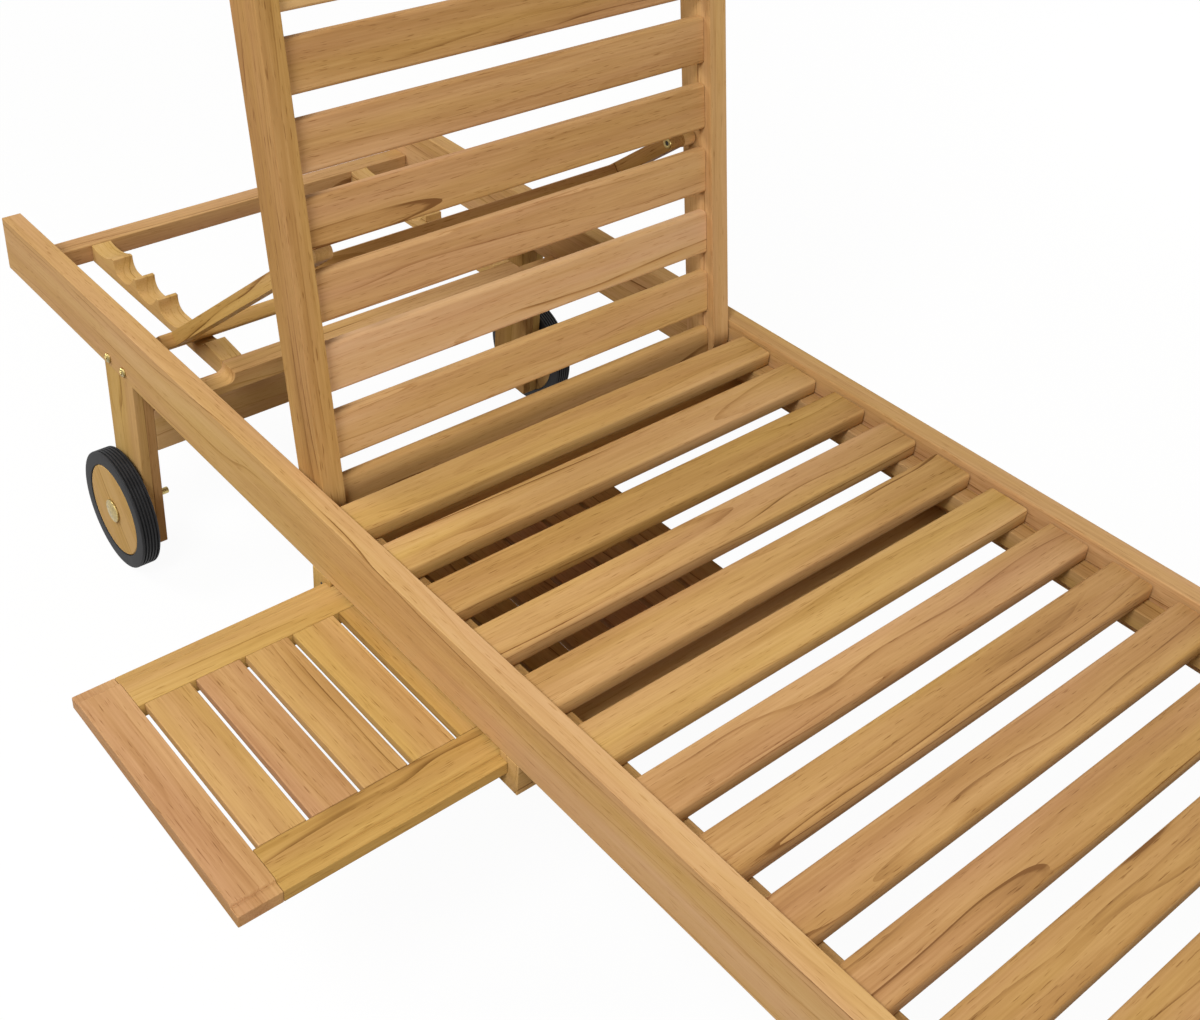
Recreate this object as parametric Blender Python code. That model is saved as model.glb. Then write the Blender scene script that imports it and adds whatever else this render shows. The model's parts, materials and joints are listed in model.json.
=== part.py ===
"""Teak sun lounger with an adjustable backrest, a pull-out side table and two wheels.

Metres, +Z up. The head end lies towards +Y, the table comes out towards -X, the floor is Z = 0.
Pieces are placed in the lounger's own frame: X = 0 on the middle line, Y = 0 at the head end of
the rails. The root empty then moves that frame so that the world origin lies on the floor, under
the middle of the whole lounger with its table pulled out.
"""
import math

import bmesh
import bpy
from mathutils import Vector

for old in list(bpy.data.objects):
    bpy.data.objects.remove(old, do_unlink=True)

# Clearances between pieces
GAP = 0.0003
SLIDE_GAP = 0.0005
PIN_GAP = 0.0005

# Long rails of the frame
LENGTH = 2.0
WIDTH = 0.66
RAIL_HEIGHT_OVER_FLOOR = 0.3632
RAIL_T = 0.0264
RAIL_H = 0.0766

# Cross rails between the long rails
HEAD_RAIL_INSET = 0.0172
HEAD_RAIL_W = 0.0302
HEAD_RAIL_H = 0.0258
RACK_RAIL_W = 0.0325
RACK_RAIL_H = 0.0251
RACK_RAIL_END_H = 0.0116
RACK_RAIL_FILLET = 0.009
FOOT_RAIL_INSET = 0.005
FOOT_RAIL_W = 0.0529

# Toothed racks that hold the prop
RACK_INNER_X = 0.200
RACK_T = 0.0286
RACK_TIP_H = 0.0321
RACK_FLOOR_H = 0.0115
RACK_SEAT_H = 0.0146
RACK_LAST_TOOTH = 0.0065
RACK_HUMP_H = 0.0296
RACK_HEAD_H = 0.0250
RACK_HEAD_SAG = 0.006
RACK_PITCH = 0.0645
RACK_NOTCHES = 4
NOTCH_WALL = 0.026
NOTCH_FLAT = 0.004
NOTCH_SQUARENESS = 2.8
TOOTH_TOP = 0.006
RACK_TAIL = 0.0745

# Seat slats and the cleats that carry them
SEAT_START = 0.7857
SEAT_SLAT_W = 0.0494
SEAT_SLAT_T = 0.020
SEAT_PITCH = 0.0771
SEAT_DROP = 0.0077
SEAT_SLAT_ROUND = 0.004
SEAT_END_GAP = 0.002
CLEAT_W = 0.026
CLEAT_H = 0.022
CLEAT_LEAD = 0.007

# Legs and wheels
LEG_W = 0.075
LEG_T = 0.0247
LEG_INSET = 0.0012
LEG_LAP_T = 0.0135
LEG_LAP_DOWN = 0.044
WHEEL_Y = 0.3256
WHEEL_LEG_CLEAR = 0.0312
FOOT_LEG_INSET = 0.25
STRETCHER_T = 0.025
STRETCHER_H = 0.0615
STRETCHER_Z = 0.1777
TYRE_R = 0.0817
TYRE_W = 0.0252
TYRE_WALL = 0.018
TYRE_ROUND = 0.002
WHEEL_GAP = 0.0041
DISC_RECESS = 0.0006
DISC_CHAMFER = 0.0015
AXLE_R = 0.0045
AXLE_STUB = 0.0245
CAP_R = 0.016
CAP_H = 0.0015
CAP_LIP = 0.003

# Backrest: lengths run up from the hinge axis, at the angle in the top notch
BACK_ANGLE = math.radians(80.0)
HINGE_Y = 0.7396
BACK_LENGTH = 0.7275
STILE_W = 0.0256
STILE_D = 0.0488
STILE_GAP = 0.0021
STILE_TOP_ROUND = 0.006
BACK_SLAT_W = 0.0545
BACK_SLAT_T = 0.015
BACK_SLAT_ROUND = 0.006
BACK_RECESS = 0.010
BACK_PITCH = 0.0788
BACK_START = 0.0392
LOW_SLAT_START = -0.0265
LOW_SLAT_W = 0.045
TOP_RAIL_W = 0.056
HINGE_PIN_R = 0.006
HINGE_PIN_RAIL = 0.014
HINGE_PIN_STILE = 0.018

# Prop: a hinged frame behind the backrest whose bar drops into the racks
PIVOT_LENGTH = 0.2615
PIVOT_BEHIND = 0.0116
PROP_ARM = 0.4469
PROP_LEG_X = 0.238
PROP_LEG_T = 0.020
PROP_LEG_W = 0.018
PROP_BAR = 0.020
PROP_BAR_ROUND = 0.005
PROP_BAR_END_GAP = 0.002
PROP_TIE = 0.016
PROP_TIE_AT = 0.115
PROP_PIN_R = 0.005
PROP_PIN_STILE = 0.012

# Side table and its grooved runners
TABLE_L = 0.6434
TABLE_W = 0.3135
TABLE_T = 0.017
TABLE_Y = 0.9598
TABLE_OUT = 0.2839
TABLE_DROP = 0.005
TABLE_EDGE = 0.0025
TONGUE_W = 0.012
TONGUE_T = 0.0135
TABLE_RAIL_W = 0.03925
TABLE_END_W = 0.0442
FIELD_T = 0.0098
SLOT_W = 0.0063
SLOT_PITCH = 0.0544
WEB_W = 0.008
WEB_T = 0.003
HEAD_RUNNER_W = 0.0345
FOOT_RUNNER_W = 0.0275
RUNNER_H = 0.038

# Smoothness of round shapes
ROUND_SIDES = 48
PIN_SIDES = 24
CORNER_STEPS = 3
ARC_STEPS = 8
SMOOTH_ANGLE = math.radians(35)

# Finishes read off the photograph, as linear colour
TEAK = (0.47, 0.29, 0.13)
RUBBER = (0.022, 0.023, 0.026)
BRASS = (0.60, 0.43, 0.17)
TEAK_TONES = (1.0, 0.93, 1.06, 0.97, 1.03)

# Places that several pieces share
HALF = WIDTH / 2
RAIL_TOP = RAIL_HEIGHT_OVER_FLOOR
RAIL_BOTTOM = RAIL_TOP - RAIL_H
RAIL_INNER = HALF - RAIL_T
HEAD_RAIL_FRONT = -HEAD_RAIL_INSET - HEAD_RAIL_W
HINGE_Z = RAIL_TOP - STILE_D / 2
STILE_OUTER = RAIL_INNER - STILE_GAP
STILE_INNER = STILE_OUTER - STILE_W
BACK_SLAT_FRONT = STILE_D / 2 - BACK_RECESS
BACK_SLAT_BACK = BACK_SLAT_FRONT - BACK_SLAT_T
LEG_OUTER = HALF - LEG_INSET
LEG_INNER = LEG_OUTER - LEG_T
WHEEL_INNER = LEG_OUTER + WHEEL_GAP
WHEEL_OUTER = WHEEL_INNER + TYRE_W
DISC_R = TYRE_R - TYRE_WALL
CAP_OUTER = WHEEL_OUTER - DISC_RECESS + GAP + CAP_LIP + CAP_H
SEAT_TOP = RAIL_TOP - SEAT_DROP
SEAT_BOTTOM = SEAT_TOP - SEAT_SLAT_T
CLEAT_TOP = SEAT_BOTTOM - GAP
LEG_LAP_TOP = CLEAT_TOP - CLEAT_H - GAP
FOOT_RAIL_FRONT = -LENGTH + FOOT_RAIL_INSET + FOOT_RAIL_W
FOOT_LEG_Y = LENGTH - FOOT_LEG_INSET
TABLE_OUTER_X = -HALF - TABLE_OUT
TABLE_TOP = RAIL_BOTTOM - TABLE_DROP
TABLE_BOTTOM = TABLE_TOP - TABLE_T
TABLE_BODY = TABLE_W / 2 - TONGUE_W
SLOT_HALF = TABLE_BODY - TABLE_RAIL_W
ORIGIN = Vector((-(TABLE_OUTER_X + CAP_OUTER) / 2, LENGTH / 2, 0))


def empty(name, parent, location, turn=0.0):
    """An empty that carries pieces; turn is its rotation about X."""
    obj = bpy.data.objects.new(name, None)
    bpy.context.scene.collection.objects.link(obj)
    obj.parent = parent
    obj.location = location
    obj.rotation_euler = (turn, 0, 0)
    return obj


def finish(name, colour, roughness, metallic=0.0):
    """A plain material for one piece."""
    material = bpy.data.materials.new(name)
    material.use_nodes = True
    shader = material.node_tree.nodes["Principled BSDF"]
    shader.inputs["Base Color"].default_value = (*colour, 1)
    shader.inputs["Roughness"].default_value = roughness
    shader.inputs["Metallic"].default_value = metallic
    return material


def teak(name):
    """Oiled teak, a little lighter or darker from board to board."""
    tone = TEAK_TONES[len(bpy.data.materials) % len(TEAK_TONES)]
    return finish(name + "_teak", [tone * c for c in TEAK], 0.55)


def place(name, bm, material, parent):
    """Turn a finished bmesh into the named piece."""
    bmesh.ops.recalc_face_normals(bm, faces=bm.faces)
    mesh = bpy.data.meshes.new(name)
    bm.to_mesh(mesh)
    bm.free()
    mesh.materials.append(material)
    mesh.shade_smooth()
    mesh.set_sharp_from_angle(angle=SMOOTH_ANGLE)
    obj = bpy.data.objects.new(name, mesh)
    bpy.context.scene.collection.objects.link(obj)
    obj.parent = parent
    return obj


def add_prism(bm, outline, axis, low, high):
    """Add a closed outline drawn out along X, Y or Z between two places."""
    def corner(a, b, along):
        return {"X": (along, a, b), "Y": (a, along, b), "Z": (a, b, along)}[axis]

    first = [bm.verts.new(corner(a, b, low)) for a, b in outline]
    last = [bm.verts.new(corner(a, b, high)) for a, b in outline]
    bm.faces.new(first)
    bm.faces.new(last)
    for i in range(len(outline)):
        j = (i + 1) % len(outline)
        bm.faces.new((first[i], first[j], last[j], last[i]))


def prism(name, outline, axis, low, high, parent):
    """A wooden piece of constant section."""
    bm = bmesh.new()
    add_prism(bm, outline, axis, low, high)
    return place(name, bm, teak(name), parent)


def arc(centre, radius, start, end, steps):
    """Points on a circle, angles in degrees."""
    points = []
    for i in range(steps + 1):
        angle = math.radians(start + (end - start) * i / steps)
        points.append((centre[0] + radius * math.cos(angle), centre[1] + radius * math.sin(angle)))
    return points


def box(a_low, a_high, b_low, b_high, radius=0.0):
    """Outline of a rectangle, with rounded corners where a radius is given."""
    if radius == 0:
        return [(a_low, b_low), (a_high, b_low), (a_high, b_high), (a_low, b_high)]
    corners = ((a_high, b_low, -90), (a_high, b_high, 0), (a_low, b_high, 90), (a_low, b_low, 180))
    outline = []
    for a, b, start in corners:
        centre = (a - radius if a == a_high else a + radius, b - radius if b == b_high else b + radius)
        outline += arc(centre, radius, start, start + 90, CORNER_STEPS)
    return outline


def turned(name, profile, sides, material, parent):
    """A piece turned about the X axis from a closed profile of (x, radius) points."""
    bm = bmesh.new()
    rings = []
    for i in range(sides):
        angle = 2 * math.pi * i / sides
        rings.append([bm.verts.new((x, r * math.cos(angle), r * math.sin(angle))) for x, r in profile])
    for i in range(sides):
        here = rings[i]
        there = rings[(i + 1) % sides]
        for j in range(len(profile)):
            k = (j + 1) % len(profile)
            if profile[j][1] > 0 or profile[k][1] > 0:
                bm.faces.new((here[j], here[k], there[k], there[j]))
    bmesh.ops.remove_doubles(bm, verts=bm.verts, dist=0.000001)
    return place(name, bm, material, parent)


def cut(obj, name, bm):
    """Cut a hidden tool shape out of a piece."""
    tool = place(name, bm, obj.data.materials[0], obj.parent)
    tool.hide_render = True
    tool.display_type = "WIRE"
    modifier = obj.modifiers.new(name, "BOOLEAN")
    modifier.operation = "DIFFERENCE"
    modifier.object = tool


def cut_hole(obj, centre, radius, low, high):
    """Drill a round hole along X through a piece."""
    bm = bmesh.new()
    add_prism(bm, arc(centre, radius, 0, 360 - 360 / PIN_SIDES, PIN_SIDES - 1), "X", low, high)
    cut(obj, obj.name + "_hole_at_%d" % round(1000 * (centre[0] + centre[1])), bm)


def across(side, inner, outer):
    """Ordered X range on one side of the lounger: side is -1 for near, 1 for far."""
    return sorted((side * inner, side * outer))


SIDES = (("near", -1), ("far", 1))
lounger = empty("lounger", None, ORIGIN)
back_axis = empty("backrest_axis", lounger, (0, -HINGE_Y, HINGE_Z), BACK_ANGLE)

# Prop at rest: its bar lies on the floor of the last notch
pivot_turn = math.atan2(-PIVOT_BEHIND, PIVOT_LENGTH) + BACK_ANGLE
pivot_reach = math.hypot(PIVOT_LENGTH, PIVOT_BEHIND)
pivot_y = -HINGE_Y + pivot_reach * math.cos(pivot_turn)
pivot_z = HINGE_Z + pivot_reach * math.sin(pivot_turn)
seat_floor = RAIL_BOTTOM + RACK_SEAT_H
bar_half = PROP_BAR / 2 - PROP_BAR_ROUND
prop_angle = 0.0
for _ in range(30):
    bar_reach = bar_half * (abs(math.cos(prop_angle)) + abs(math.sin(prop_angle))) + PROP_BAR_ROUND
    prop_angle = math.asin((seat_floor + GAP + bar_reach - pivot_z) / PROP_ARM)
bar_y = pivot_y + PROP_ARM * math.cos(prop_angle)
prop_axis = empty("prop_axis", back_axis, (0, PIVOT_LENGTH, -PIVOT_BEHIND), prop_angle - BACK_ANGLE)
rack_rail_head = bar_y - RACK_TAIL

# Long rails, each with a blind hole for the hinge pin
for side_name, side in SIDES:
    low, high = across(side, RAIL_INNER, HALF)
    rail = prism(side_name + "_rail", box(-LENGTH, 0, RAIL_BOTTOM, RAIL_TOP), "X", low, high, lounger)
    low, high = across(side, RAIL_INNER - PIN_GAP, RAIL_INNER + HINGE_PIN_RAIL + GAP)
    cut_hole(rail, (-HINGE_Y, HINGE_Z), HINGE_PIN_R + PIN_GAP, low, high)

# Cross rails: head, rack and foot
inner = RAIL_INNER - GAP
prism("head_rail", box(HEAD_RAIL_FRONT, -HEAD_RAIL_INSET, RAIL_BOTTOM, RAIL_BOTTOM + HEAD_RAIL_H),
      "X", -inner, inner, lounger)
rack_outer = RACK_INNER_X + RACK_T
shoulder = (rack_outer + RACK_RAIL_FILLET, RAIL_BOTTOM + RACK_RAIL_END_H + RACK_RAIL_FILLET)
half_outline = [(inner, RAIL_BOTTOM), (inner, RAIL_BOTTOM + RACK_RAIL_END_H)]
half_outline += arc(shoulder, RACK_RAIL_FILLET, 270, 180, CORNER_STEPS)
half_outline += [(rack_outer, RAIL_BOTTOM + RACK_RAIL_H)]
rack_rail_outline = half_outline + [(-x, z) for x, z in reversed(half_outline)]
prism("rack_rail", rack_rail_outline, "Y", rack_rail_head - RACK_RAIL_W, rack_rail_head, lounger)
prism("foot_rail", box(FOOT_RAIL_FRONT - FOOT_RAIL_W, FOOT_RAIL_FRONT, RAIL_BOTTOM, SEAT_TOP),
      "X", -inner, inner, lounger)


def rack_outline():
    """Side view of a rack, from the head rail to the rack rail, with a scooped notch behind each tooth."""
    head = HEAD_RAIL_FRONT - GAP
    foot = rack_rail_head + GAP
    outline = [(foot, RAIL_BOTTOM), (head, RAIL_BOTTOM)]
    first_tip = bar_y + (RACK_NOTCHES - 1) * RACK_PITCH + NOTCH_WALL + TOOTH_TOP
    for i in range(ARC_STEPS):
        t = i / ARC_STEPS
        height = RACK_HEAD_H + (RACK_TIP_H - RACK_HEAD_H) * t - 4 * RACK_HEAD_SAG * t * (1 - t)
        outline.append((head + (first_tip - head) * t, RAIL_BOTTOM + height))
    for notch in range(1, RACK_NOTCHES + 1):
        last = notch == RACK_NOTCHES
        middle = bar_y + (RACK_NOTCHES - notch) * RACK_PITCH
        floor = RACK_SEAT_H if last else RACK_FLOOR_H
        tip = RACK_SEAT_H + RACK_LAST_TOOTH if last else RACK_TIP_H
        after = RACK_HUMP_H
        if not last:
            after = RACK_TIP_H if notch < RACK_NOTCHES - 1 else RACK_SEAT_H + RACK_LAST_TOOTH
        outline.append((middle + NOTCH_WALL + TOOTH_TOP, RAIL_BOTTOM + tip))
        for i in range(ARC_STEPS + 1):
            angle = math.pi / 2 * i / ARC_STEPS
            out = NOTCH_FLAT + (NOTCH_WALL - NOTCH_FLAT) * abs(math.cos(angle)) ** (2 / NOTCH_SQUARENESS)
            down = (tip - floor) * math.sin(angle) ** (2 / NOTCH_SQUARENESS)
            outline.append((middle + out, RAIL_BOTTOM + tip - down))
        run = RACK_PITCH - NOTCH_WALL - TOOTH_TOP - NOTCH_FLAT
        for i in range(ARC_STEPS):
            t = i / ARC_STEPS
            outline.append((middle - NOTCH_FLAT - run * t, RAIL_BOTTOM + floor + (after - floor) * t * t))
    outline.append((bar_y - RACK_PITCH + NOTCH_WALL + TOOTH_TOP, RAIL_BOTTOM + RACK_HUMP_H))
    outline.append((foot, RAIL_BOTTOM + RACK_RAIL_H))
    return outline


for side_name, side in SIDES:
    low, high = across(side, RACK_INNER_X, rack_outer)
    prism(side_name + "_rack", rack_outline(), "X", low, high, lounger)

# Cleats along the inside of the rails, under the seat slats
for side_name, side in SIDES:
    low, high = across(side, inner - CLEAT_W, inner)
    outline = box(FOOT_RAIL_FRONT + GAP, -SEAT_START + CLEAT_LEAD, CLEAT_TOP - CLEAT_H, CLEAT_TOP)
    prism(side_name + "_cleat", outline, "X", low, high, lounger)

# Seat slats with rounded long edges, from the backrest to the foot rail
seat_half = RAIL_INNER - SEAT_END_GAP
seat_count = math.floor((-FOOT_RAIL_FRONT - SEAT_START - SEAT_SLAT_W) / SEAT_PITCH) + 1
for i in range(seat_count):
    back = -SEAT_START - i * SEAT_PITCH
    prism("seat_slat_%02d" % (i + 1), box(back - SEAT_SLAT_W, back, SEAT_BOTTOM, SEAT_TOP, SEAT_SLAT_ROUND),
          "X", -seat_half, seat_half, lounger)


def leg(name, side, y, bottom):
    """A leg board under the rail, with a lap that rises behind the rail where the bolts hold it."""
    lap_inner = RAIL_INNER - GAP - LEG_LAP_T
    lap_low = RAIL_BOTTOM - LEG_LAP_DOWN
    top = RAIL_BOTTOM - GAP
    outline = [(LEG_INNER, bottom), (LEG_OUTER, bottom), (LEG_OUTER, top), (RAIL_INNER - GAP, top),
               (RAIL_INNER - GAP, LEG_LAP_TOP), (lap_inner, LEG_LAP_TOP),
               (lap_inner, lap_low), (LEG_INNER, lap_low)]
    return prism(name, [(side * x, z) for x, z in outline], "Y", y - LEG_W / 2, y + LEG_W / 2, lounger)


# Legs: the wheel legs carry the axles, the foot legs stand on the floor
for side_name, side in SIDES:
    board = leg(side_name + "_wheel_leg", side, -WHEEL_Y, WHEEL_LEG_CLEAR)
    low, high = across(side, LEG_INNER - PIN_GAP, LEG_OUTER + PIN_GAP)
    cut_hole(board, (-WHEEL_Y, TYRE_R), AXLE_R + PIN_GAP, low, high)
    leg(side_name + "_foot_leg", side, -FOOT_LEG_Y, 0.0)
stretcher_front = -WHEEL_Y - LEG_W / 2
outline = box(stretcher_front, stretcher_front + STRETCHER_T, STRETCHER_Z, STRETCHER_Z + STRETCHER_H)
prism("wheel_stretcher", outline, "X", -LEG_INNER + GAP, LEG_INNER - GAP, lounger)

# Wheels: rubber tyre on a wooden disc, turning on a brass axle with a slightly domed cap
for side_name, side in SIDES:
    wheel_axis = empty(side_name + "_wheel_axis", lounger, (0, -WHEEL_Y, TYRE_R))
    tread = box(WHEEL_INNER, WHEEL_OUTER, DISC_R + GAP, TYRE_R)
    edge = TYRE_ROUND
    tread[2:] = (arc((WHEEL_OUTER - edge, TYRE_R - edge), edge, 0, 90, CORNER_STEPS)
                 + arc((WHEEL_INNER + edge, TYRE_R - edge), edge, 90, 180, CORNER_STEPS))
    turned(side_name + "_tyre", [(side * x, r) for x, r in tread], ROUND_SIDES,
           finish(side_name + "_tyre_rubber", RUBBER, 0.6), wheel_axis)
    disc_inner = WHEEL_INNER + DISC_RECESS
    disc_outer = WHEEL_OUTER - DISC_RECESS
    bore = AXLE_R + PIN_GAP
    disc = [(disc_inner, bore), (disc_outer, bore), (disc_outer, DISC_R - DISC_CHAMFER),
            (disc_outer - DISC_CHAMFER, DISC_R), (disc_inner, DISC_R)]
    turned(side_name + "_wheel_disc", [(side * x, r) for x, r in disc], ROUND_SIDES,
           teak(side_name + "_wheel_disc"), wheel_axis)
    cap_inner = disc_outer + GAP
    dome_r = (CAP_R ** 2 + CAP_H ** 2) / (2 * CAP_H)
    dome_angle = math.degrees(math.asin(CAP_R / dome_r))
    dome = arc((cap_inner + CAP_LIP + CAP_H - dome_r, 0), dome_r, dome_angle, 0, CORNER_STEPS)
    dome[-1] = (cap_inner + CAP_LIP + CAP_H, 0)
    axle_end = LEG_INNER - AXLE_STUB
    axle = [(axle_end, 0), (axle_end, AXLE_R), (cap_inner, AXLE_R), (cap_inner, CAP_R)] + dome
    turned(side_name + "_axle", [(side * x, r) for x, r in axle], PIN_SIDES,
           finish(side_name + "_axle_brass", BRASS, 0.3, 1.0), wheel_axis)

# Backrest stiles: rounded about the hinge, drilled for the hinge pin and for the prop's pin
for side_name, side in SIDES:
    low, high = across(side, STILE_INNER, STILE_OUTER)
    outline = arc((0, 0), STILE_D / 2, 90, 270, 2 * ARC_STEPS)
    top_edge = STILE_D / 2 - STILE_TOP_ROUND
    outline += arc((BACK_LENGTH - STILE_TOP_ROUND, -top_edge), STILE_TOP_ROUND, -90, 0, CORNER_STEPS)
    outline += arc((BACK_LENGTH - STILE_TOP_ROUND, top_edge), STILE_TOP_ROUND, 0, 90, CORNER_STEPS)
    stile = prism(side_name + "_stile", outline, "X", low, high, back_axis)
    low, high = across(side, STILE_OUTER - HINGE_PIN_STILE - GAP, STILE_OUTER + PIN_GAP)
    cut_hole(stile, (0, 0), HINGE_PIN_R + PIN_GAP, low, high)
    low, high = across(side, STILE_INNER - PIN_GAP, STILE_INNER + PROP_PIN_STILE + GAP)
    cut_hole(stile, (PIVOT_LENGTH, -PIVOT_BEHIND), PROP_PIN_R + PIN_GAP, low, high)

# Back slats between the stiles, and the rail that closes the top
back_half = STILE_INNER - GAP
top_rail_low = BACK_LENGTH - TOP_RAIL_W
back_count = math.floor((top_rail_low - BACK_START - BACK_SLAT_W) / BACK_PITCH) + 1
back_starts = [(LOW_SLAT_START, LOW_SLAT_W)]
back_starts += [(BACK_START + i * BACK_PITCH, BACK_SLAT_W) for i in range(back_count)]
for i, (start, width) in enumerate(back_starts):
    outline = box(start, start + width, BACK_SLAT_BACK, BACK_SLAT_FRONT, BACK_SLAT_ROUND)
    prism("back_slat_%02d" % (i + 1), outline, "X", -back_half, back_half, back_axis)
outline = box(top_rail_low, BACK_LENGTH, BACK_SLAT_BACK, BACK_SLAT_FRONT, BACK_SLAT_ROUND)
prism("back_top_rail", outline, "X", -back_half, back_half, back_axis)

# Hinge pins, held in the rails
for side_name, side in SIDES:
    ends = (STILE_OUTER - HINGE_PIN_STILE, RAIL_INNER + HINGE_PIN_RAIL)
    pin = [(ends[0], 0), (ends[0], HINGE_PIN_R), (ends[1], HINGE_PIN_R), (ends[1], 0)]
    turned(side_name + "_hinge_pin", [(side * x, r) for x, r in pin], PIN_SIDES,
           finish(side_name + "_hinge_pin_brass", BRASS, 0.35, 1.0), back_axis)

# Prop legs, drilled for the pins that they swing on
for side_name, side in SIDES:
    low, high = across(side, PROP_LEG_X, PROP_LEG_X + PROP_LEG_T)
    leg_end = PROP_ARM - PROP_BAR / 2 - GAP
    outline = arc((0, 0), PROP_LEG_W / 2, 90, 270, 2 * ARC_STEPS)
    outline += [(leg_end, -PROP_LEG_W / 2), (leg_end, PROP_LEG_W / 2)]
    prop_leg = prism(side_name + "_prop_leg", outline, "X", low, high, prop_axis)
    low, high = across(side, PROP_LEG_X - PIN_GAP, PROP_LEG_X + PROP_LEG_T + PIN_GAP)
    cut_hole(prop_leg, (0, 0), PROP_PIN_R + PIN_GAP, low, high)

# Prop bar across the racks, and the tie that keeps the legs apart
bar_end = STILE_INNER - PROP_BAR_END_GAP
outline = box(PROP_ARM - PROP_BAR / 2, PROP_ARM + PROP_BAR / 2, -PROP_BAR / 2, PROP_BAR / 2, PROP_BAR_ROUND)
prism("prop_bar", outline, "X", -bar_end, bar_end, prop_axis)
outline = box(PROP_TIE_AT - PROP_TIE / 2, PROP_TIE_AT + PROP_TIE / 2, -PROP_TIE / 2, PROP_TIE / 2)
prism("prop_tie", outline, "X", GAP - PROP_LEG_X, PROP_LEG_X - GAP, prop_axis)

# Prop pins, held in the stiles
for side_name, side in SIDES:
    ends = (PROP_LEG_X, STILE_INNER + PROP_PIN_STILE)
    pin = [(ends[0], 0), (ends[0], PROP_PIN_R), (ends[1], PROP_PIN_R), (ends[1], 0)]
    turned(side_name + "_prop_pin", [(side * x, r) for x, r in pin], PIN_SIDES,
           finish(side_name + "_prop_pin_brass", BRASS, 0.35, 1.0), prop_axis)

# Runners under the rails, grooved along the side that faces the table
tongue_top = TABLE_BOTTOM + TONGUE_T
runner_face = TABLE_BODY + SLIDE_GAP
groove_end = TABLE_BODY + TONGUE_W + SLIDE_GAP
runner_top = RAIL_BOTTOM - GAP
for runner_name, side, width in (("head_runner", 1, HEAD_RUNNER_W), ("foot_runner", -1, FOOT_RUNNER_W)):
    outline = [(runner_face, runner_top - RUNNER_H), (runner_face + width, runner_top - RUNNER_H),
               (runner_face + width, runner_top), (runner_face, runner_top),
               (runner_face, tongue_top + SLIDE_GAP), (groove_end, tongue_top + SLIDE_GAP),
               (groove_end, TABLE_BOTTOM - GAP), (runner_face, TABLE_BOTTOM - GAP)]
    prism(runner_name, [(-TABLE_Y + side * y, z) for y, z in outline], "X", -HALF, HALF, lounger)

# Table, pulled out: thin slats between end boards, let into two grooved side rails
table_axis = empty("table_axis", lounger, (TABLE_OUTER_X, -TABLE_Y, TABLE_BOTTOM))
rail_low = TABLE_END_W
slot_count = math.floor((TABLE_L - 2 * TABLE_END_W) / SLOT_PITCH) + 1
rail_high = TABLE_END_W + (slot_count - 1) * SLOT_PITCH + SLOT_W
field_low = TABLE_T - FIELD_T
web_low = field_low + (FIELD_T - WEB_T) / 2
web_high = web_low + WEB_T
edge_top = TABLE_T - TABLE_EDGE
body_edge = TABLE_BODY - TABLE_EDGE
half_section = [(TABLE_W / 2, 0), (TABLE_W / 2, TONGUE_T), (TABLE_BODY, TONGUE_T), (TABLE_BODY, edge_top),
                (body_edge, TABLE_T)]
section = half_section + [(-y, z) for y, z in reversed(half_section)]
panel = prism("table_panel", section, "X", 0, TABLE_L, table_axis)
tools = bmesh.new()
half_waste = [(TABLE_W, -TABLE_T), (TABLE_W, 2 * TABLE_T), (SLOT_HALF, 2 * TABLE_T), (SLOT_HALF, web_high),
              (SLOT_HALF + WEB_W, web_high), (SLOT_HALF + WEB_W, web_low), (SLOT_HALF, web_low),
              (SLOT_HALF, field_low)]
add_prism(tools, half_waste + [(-y, z) for y, z in reversed(half_waste)], "X", rail_low, rail_high)
cut(panel, "table_panel_waste", tools)
tools = bmesh.new()
for i in range(slot_count):
    start = TABLE_END_W + i * SLOT_PITCH
    add_prism(tools, box(start, start + SLOT_W, -SLOT_HALF, SLOT_HALF), "Z", -TABLE_T, 2 * TABLE_T)
cut(panel, "table_panel_slots", tools)
for rail_name, side in (("table_head_rail", 1), ("table_foot_rail", -1)):
    rail_edge = SLOT_HALF + GAP
    web_edge = SLOT_HALF + WEB_W + GAP
    outline = [(rail_edge, 0)] + half_section
    outline += [(rail_edge, TABLE_T), (rail_edge, web_high + GAP), (web_edge, web_high + GAP),
                (web_edge, web_low - GAP), (rail_edge, web_low - GAP)]
    prism(rail_name, [(side * y, z) for y, z in outline], "X", rail_low + GAP, rail_high - GAP, table_axis)

print("hinge axis", lounger.location + back_axis.location)
print("prop pivot", (ORIGIN.y + pivot_y, pivot_z), "bar", (ORIGIN.y + bar_y, seat_floor))
print("prop angle at rest", math.degrees(prop_angle), "origin", tuple(ORIGIN))
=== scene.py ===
"""Looks of the teak sun lounger, put together in the order in which a joiner would build it.

Metres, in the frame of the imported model: +Z up, the head end towards +Y, the table out towards -X.
"""
import json
import math
import random

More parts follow.
